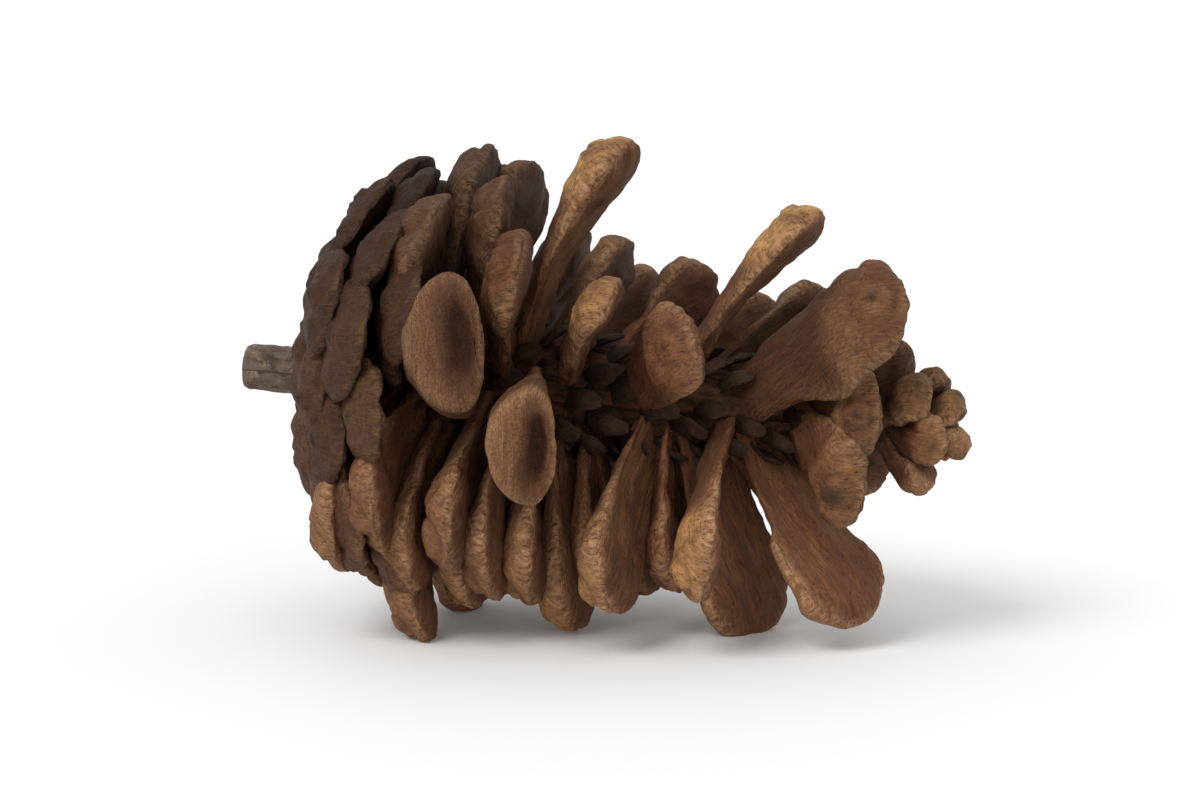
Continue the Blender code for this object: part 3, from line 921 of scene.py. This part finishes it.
def core_material():
    shader = Shader("dark_axis")
    grain = shader.layer("grain")
    streak = shader.noise(shader.stretched(grain, (1.0, 0.3, 1.0)), 2.0, 3.0)
    # The axis is coloured near black as painted shade: it stands for the shade deep between the scales.
    colour = shader.mix(shader.remap(streak, 0.35, 0.65), srgb(38, 24, 15), srgb(66, 42, 27))
    shader.feed(shader.surface.inputs["Base Color"], colour)
    shader.surface.inputs["Roughness"].default_value = 0.85
    shader.surface.inputs["Specular IOR Level"].default_value = 0.1
    shader.feed(shader.surface.inputs["Normal"], shader.bump(streak, 0.0003))
    return shader.material


def bark_material():
    """Grey-brown bark, dark in its furrows."""
    shader = Shader("twig_bark")
    grain = shader.layer("grain")
    furrow = shader.noise(shader.stretched(grain, (1.0, 0.4, 1.0)), 1.1, 4.0, 0.6, 0.4)
    patch = shader.noise(grain, 0.5, 2.0)
    fleck = shader.noise(grain, 4.0, 2.0)
    colour = shader.mix(shader.remap(furrow, 0.34, 0.6), BARK_DARK, BARK)
    light = shader.math("MULTIPLY", shader.remap(patch, 0.48, 0.7), shader.remap(fleck, 0.42, 0.62))
    colour = shader.mix(light, colour, BARK_LIGHT)
    shader.feed(shader.surface.inputs["Base Color"], colour)
    shader.surface.inputs["Roughness"].default_value = 0.82
    relief = shader.math("ADD", furrow, shader.math("MULTIPLY", fleck, 0.35))
    shader.feed(shader.surface.inputs["Normal"], shader.bump(relief, 0.0003))
    return shader.material


def cut_material():
    """The cut end of the twig: pale wood in rings round a dark pith."""
    shader = Shader("cut_wood")
    disc = shader.layer("disc")
    from_pith = shader.length(disc)
    fleck = shader.noise(disc, 3.0, 3.0)
    rings = shader.math("SINE", shader.math("MULTIPLY", from_pith, 13.0))
    colour = shader.mix(shader.remap(rings, -1.0, 1.0, 0.0, 0.6), CUT_WOOD, srgb(136, 104, 72))
    colour = shader.mix(shader.remap(fleck, 0.4, 0.7, 0.0, 0.6), colour, srgb(112, 84, 58))
    colour = shader.mix(shader.remap(from_pith, 0.42, 0.28), colour, srgb(74, 50, 34))
    colour = shader.mix(shader.remap(from_pith, 1.25, 1.45), colour, BARK_DARK)
    shader.feed(shader.surface.inputs["Base Color"], colour)
    shader.surface.inputs["Roughness"].default_value = 0.85
    shader.feed(shader.surface.inputs["Normal"], shader.bump(fleck, 0.0002))
    return shader.material


def plain_material(name, colour, roughness):
    shader = Shader(name)
    shader.surface.inputs["Base Color"].default_value = colour
    shader.surface.inputs["Roughness"].default_value = roughness
    return shader.material


def add_floor():
    mesh = bpy.data.meshes.new("table")
    reach = 6.0
    corners = [(-reach, -reach, 0), (reach, -reach, 0), (reach, reach, 0), (-reach, reach, 0)]
    mesh.from_pydata(corners, [], [(0, 1, 2, 3)])
    floor = bpy.data.objects.new("table", mesh)
    bpy.context.scene.collection.objects.link(floor)
    mesh.materials.append(plain_material("pale_table", (0.86, 0.86, 0.855, 1.0), 0.7))


# Each light: where it shines from, its strength, and its spread in degrees.
KEY_LIGHT = ((-0.45, -0.85, 1.0), 1.7, 30.0)
FILL_LIGHT = ((0.6, -1.0, 0.05), 0.95, 60.0)
WORLD_STRENGTH = 0.82


def add_sun(name, place, strength, spread):
    """A soft light so far off that it falls evenly on the whole table."""
    lamp = bpy.data.lights.new(name, "SUN")
    lamp.energy = strength
    lamp.angle = math.radians(spread)
    light = bpy.data.objects.new(name, lamp)
    light.rotation_mode = "QUATERNION"
    light.rotation_quaternion = (-Vector(place)).to_track_quat("-Z", "Y")
    bpy.context.scene.collection.objects.link(light)


def add_world():
    world = bpy.data.worlds.new("studio")
    world.use_nodes = True
    background = world.node_tree.nodes["Background"]
    background.inputs["Color"].default_value = (1.0, 1.0, 1.0, 1.0)
    background.inputs["Strength"].default_value = WORLD_STRENGTH
    bpy.context.scene.world = world


AZIMUTH = math.radians(12.0)
ELEVATION = math.radians(8.0)
LENS = 100.0
DISTANCE = 0.232


def add_camera():
    """Looks at the cone from its side, a little towards its apex and a little from above."""
    camera = bpy.data.objects.new("camera", bpy.data.cameras.new("camera"))
    camera.data.lens = LENS
    camera.data.clip_start = 0.005
    middle = Vector((0.0, 0.0, (cad_low.z + cad_high.z) / 2.0 - 0.001))
    back = Vector(
        (
            math.sin(AZIMUTH) * math.cos(ELEVATION),
            -math.cos(AZIMUTH) * math.cos(ELEVATION),
            math.sin(ELEVATION),
        )
    )
    camera.location = middle + back * DISTANCE
    camera.rotation_mode = "QUATERNION"
    camera.rotation_quaternion = (-back).to_track_quat("-Z", "Y")
    bpy.context.scene.collection.objects.link(camera)
    bpy.context.scene.camera = camera


scale_pieces, core, stub = build_pieces()
brown = scale_material()
for piece in scale_pieces:
    piece.data.materials.append(brown)
    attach(piece, "root")
    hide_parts("scaly_cone")
core.data.materials.append(core_material())
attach(core, "root")
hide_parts("scaly_cone")
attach(stub, "root")
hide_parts("stalk")

add_floor()
add_world()
add_sun("key", *KEY_LIGHT)
add_sun("fill", *FILL_LIGHT)
add_camera()
bpy.context.scene.view_settings.view_transform = "Standard"
